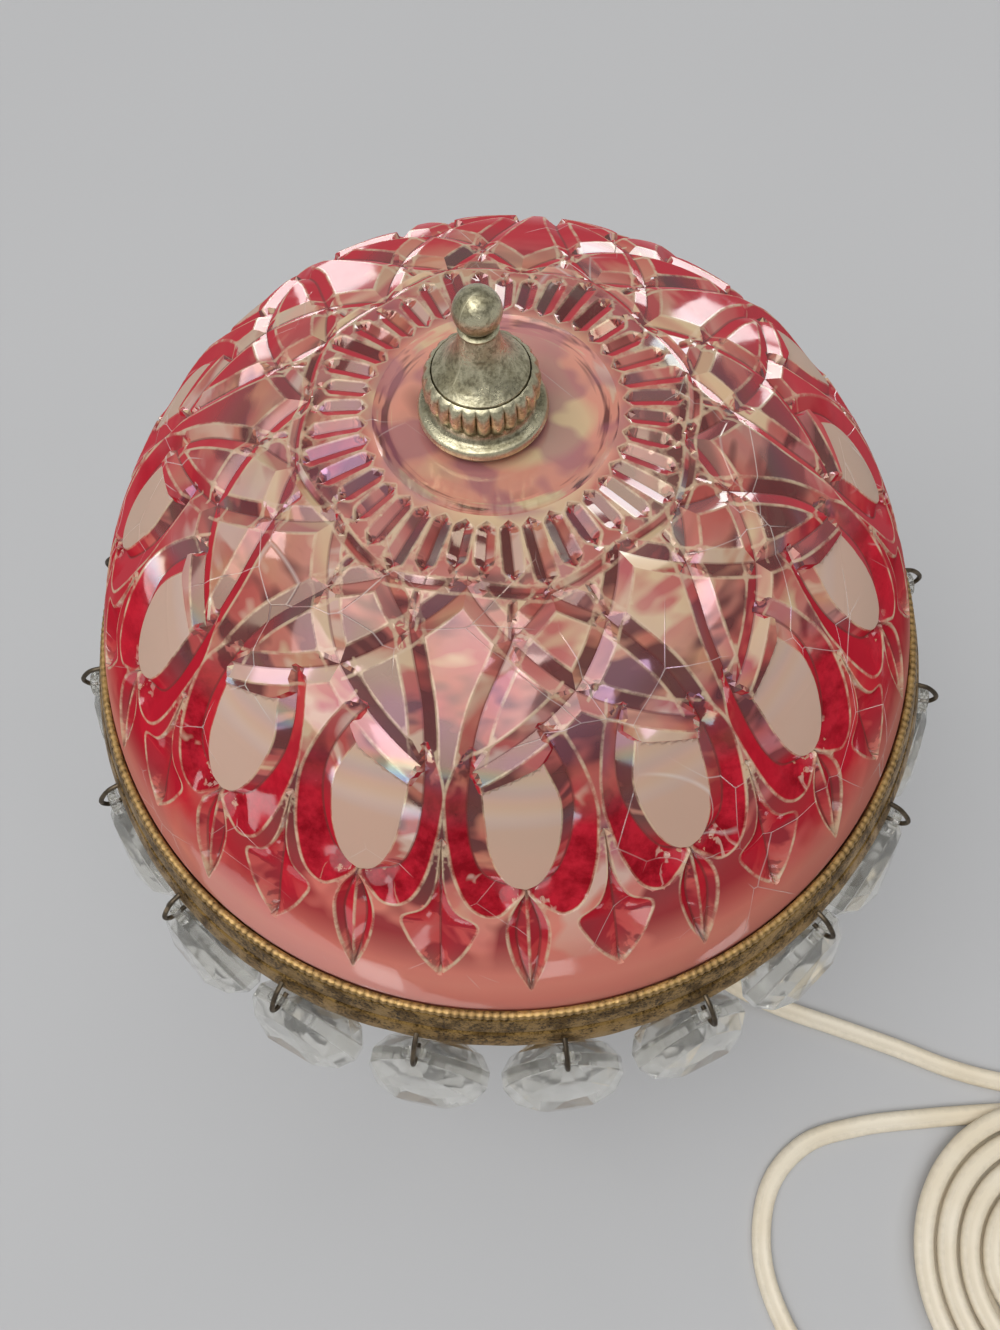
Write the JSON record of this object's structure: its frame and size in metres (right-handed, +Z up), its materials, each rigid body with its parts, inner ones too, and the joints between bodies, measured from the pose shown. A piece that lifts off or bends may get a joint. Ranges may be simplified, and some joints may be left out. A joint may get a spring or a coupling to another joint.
{
  "type": "boudoir table lamp",
  "caption": "Small table lamp with a pressed rose glass dome in a brass rim band, a fringe of hanging crystal drops, a turned finial, a harp, a bulb and a coiled flat cord.",
  "frame": {"origin": "centre of the shade at the height of the table top, under the felt pad", "axes": "+Z up along the stem, -Y towards the side the picture was taken from, +X towards the cord"},
  "size_m": [0.3227, 0.2682, 0.2468],
  "materials": {
    "rose_glass": "pressed rose glass, iridescent, with frosted panels",
    "crystal": "clear cut crystal",
    "antique_brass": "aged brass with dark speckled patina",
    "bright_brass": "satin brass",
    "cast_nickel": "sand-cast brass, worn pale plate",
    "dark_wire": "darkened brass wire",
    "steel": "plated steel",
    "opal_glass": "opal white bulb glass",
    "dark_plastic": "dark brown moulded phenolic",
    "fibre": "pressed fibre",
    "ivory_plastic": "ivory cord insulation, satin",
    "green_felt": "felt"
  },
  "bodies": {
    "lamp": {"felt_pad": "green_felt", "base": "antique_brass", "lock_washer": "steel", "lock_nut": "steel", "stem_pipe": "bright_brass", "lower_cup": "antique_brass", "column": "crystal", "upper_cup": "antique_brass", "harp_saddle": "bright_brass", "harp_ferrule_left": "bright_brass", "harp_ferrule_right": "bright_brass", "harp": "bright_brass", "harp_stud": "steel", "shade_rest": "bright_brass", "socket_cap": "bright_brass", "socket_shell": "bright_brass", "socket_liner": "fibre", "socket_core": "dark_plastic", "screw_shell": "bright_brass", "centre_contact": "bright_brass", "bulb_cap": "steel", "bulb_glass": "opal_glass", "cord_bushing": "ivory_plastic", "cord_in_stem": "ivory_plastic", "cord": "ivory_plastic", "cord_coil": "ivory_plastic", "cord_tail": "ivory_plastic", "plug_body": "ivory_plastic", "plug_blade_left": "steel", "plug_blade_right": "steel"},
    "shade_assembly": {"shade": "rose_glass", "rim_band": "antique_brass", "hook_wire": "dark_wire"},
    "finial_seat": {"finial_washer": "fibre"},
    "finial_body": {"finial": "cast_nickel"},
    "switch": {"switch_shaft": "steel", "switch_knob": "dark_plastic"},
    "prism_01_body": {"prism_01": "crystal"},
    "prism_02_body": {"prism_02": "crystal"},
    "prism_03_body": {"prism_03": "crystal"},
    "prism_04_body": {"prism_04": "crystal"},
    "prism_05_body": {"prism_05": "crystal"},
    "prism_06_body": {"prism_06": "crystal"},
    "prism_07_body": {"prism_07": "crystal"},
    "prism_08_body": {"prism_08": "crystal"},
    "prism_09_body": {"prism_09": "crystal"},
    "prism_10_body": {"prism_10": "crystal"},
    "prism_11_body": {"prism_11": "crystal"},
    "prism_12_body": {"prism_12": "crystal"},
    "prism_13_body": {"prism_13": "crystal"},
    "prism_14_body": {"prism_14": "crystal"},
    "prism_15_body": {"prism_15": "crystal"},
    "prism_16_body": {"prism_16": "crystal"},
    "prism_17_body": {"prism_17": "crystal"},
    "prism_18_body": {"prism_18": "crystal"},
    "prism_19_body": {"prism_19": "crystal"},
    "prism_20_body": {"prism_20": "crystal"}
  },
  "joints": [
    {"name": "shade_lift", "type": "slide", "parent": "lamp", "child": "shade_assembly", "axis": [0, 0, 1], "range_m": [0, 0.08]},
    {"name": "finial_lift", "type": "slide", "parent": "shade_assembly", "child": "finial_seat", "axis": [0, 0, 1], "range_m": [0, 0.0076]},
    {"name": "finial_turn", "type": "hinge", "parent": "finial_seat", "child": "finial_body", "pos_m": [-0.0017, 0, 0.235], "axis": [0, 0, 1], "range_deg": [0, 2880]},
    {"name": "switch_turn", "type": "hinge", "parent": "lamp", "child": "switch", "pos_m": [-0.0017, 0.02, 0.11384], "axis": [0, 1, 0], "continuous": true},
    {"name": "prism_01_swing", "type": "hinge", "parent": "shade_assembly", "child": "prism_01_body", "pos_m": [0.0067, -0.08153, 0.1508], "axis": [-0.9966, -0.0819, 0], "range_deg": [-10, 30]},
    {"name": "prism_02_swing", "type": "hinge", "parent": "shade_assembly", "child": "prism_02_body", "pos_m": [0.03157, -0.07546, 0.1508], "axis": [-0.9225, -0.3859, 0], "range_deg": [-10, 30]},
    {"name": "prism_03_swing", "type": "hinge", "parent": "shade_assembly", "child": "prism_03_body", "pos_m": [0.05334, -0.06202, 0.1508], "axis": [-0.7581, -0.6521, 0], "range_deg": [-10, 30]},
    {"name": "prism_04_swing", "type": "hinge", "parent": "shade_assembly", "child": "prism_04_body", "pos_m": [0.06989, -0.0425, 0.1508], "axis": [-0.5195, -0.8545, 0], "range_deg": [-10, 30]},
    {"name": "prism_05_swing", "type": "hinge", "parent": "shade_assembly", "child": "prism_05_body", "pos_m": [0.07961, -0.01882, 0.1508], "axis": [-0.23, -0.9732, 0], "range_deg": [-10, 30]},
    {"name": "prism_06_swing", "type": "hinge", "parent": "shade_assembly", "child": "prism_06_body", "pos_m": [0.08153, 0.0067, 0.1508], "axis": [0.0819, -0.9966, 0], "range_deg": [-10, 30]},
    {"name": "prism_07_swing", "type": "hinge", "parent": "shade_assembly", "child": "prism_07_body", "pos_m": [0.07546, 0.03157, 0.1508], "axis": [0.3859, -0.9225, 0], "range_deg": [-10, 30]},
    {"name": "prism_08_swing", "type": "hinge", "parent": "shade_assembly", "child": "prism_08_body", "pos_m": [0.06202, 0.05334, 0.1508], "axis": [0.6521, -0.7581, 0], "range_deg": [-10, 30]},
    {"name": "prism_09_swing", "type": "hinge", "parent": "shade_assembly", "child": "prism_09_body", "pos_m": [0.0425, 0.06989, 0.1508], "axis": [0.8545, -0.5195, 0], "range_deg": [-10, 30]},
    {"name": "prism_10_swing", "type": "hinge", "parent": "shade_assembly", "child": "prism_10_body", "pos_m": [0.01882, 0.07961, 0.1508], "axis": [0.9732, -0.23, 0], "range_deg": [-10, 30]},
    {"name": "prism_11_swing", "type": "hinge", "parent": "shade_assembly", "child": "prism_11_body", "pos_m": [-0.0067, 0.08153, 0.1508], "axis": [0.9966, 0.0819, 0], "range_deg": [-10, 30]},
    {"name": "prism_12_swing", "type": "hinge", "parent": "shade_assembly", "child": "prism_12_body", "pos_m": [-0.03157, 0.07546, 0.1508], "axis": [0.9225, 0.3859, 0], "range_deg": [-10, 30]},
    {"name": "prism_13_swing", "type": "hinge", "parent": "shade_assembly", "child": "prism_13_body", "pos_m": [-0.05334, 0.06202, 0.1508], "axis": [0.7581, 0.6521, 0], "range_deg": [-10, 30]},
    {"name": "prism_14_swing", "type": "hinge", "parent": "shade_assembly", "child": "prism_14_body", "pos_m": [-0.06989, 0.0425, 0.1508], "axis": [0.5195, 0.8545, 0], "range_deg": [-10, 30]},
    {"name": "prism_15_swing", "type": "hinge", "parent": "shade_assembly", "child": "prism_15_body", "pos_m": [-0.07961, 0.01882, 0.1508], "axis": [0.23, 0.9732, 0], "range_deg": [-10, 30]},
    {"name": "prism_16_swing", "type": "hinge", "parent": "shade_assembly", "child": "prism_16_body", "pos_m": [-0.08153, -0.0067, 0.1508], "axis": [-0.0819, 0.9966, 0], "range_deg": [-10, 30]},
    {"name": "prism_17_swing", "type": "hinge", "parent": "shade_assembly", "child": "prism_17_body", "pos_m": [-0.07546, -0.03157, 0.1508], "axis": [-0.3859, 0.9225, 0], "range_deg": [-10, 30]},
    {"name": "prism_18_swing", "type": "hinge", "parent": "shade_assembly", "child": "prism_18_body", "pos_m": [-0.06202, -0.05334, 0.1508], "axis": [-0.6521, 0.7581, 0], "range_deg": [-10, 30]},
    {"name": "prism_19_swing", "type": "hinge", "parent": "shade_assembly", "child": "prism_19_body", "pos_m": [-0.0425, -0.06989, 0.1508], "axis": [-0.8545, 0.5195, 0], "range_deg": [-10, 30]},
    {"name": "prism_20_swing", "type": "hinge", "parent": "shade_assembly", "child": "prism_20_body", "pos_m": [-0.01882, -0.07961, 0.1508], "axis": [-0.9732, 0.23, 0], "range_deg": [-10, 30]}
  ],
  "couplings": [
    {"joint": "finial_lift", "follows": "finial_turn", "m_per_rad": 0.00014961}
  ]
}
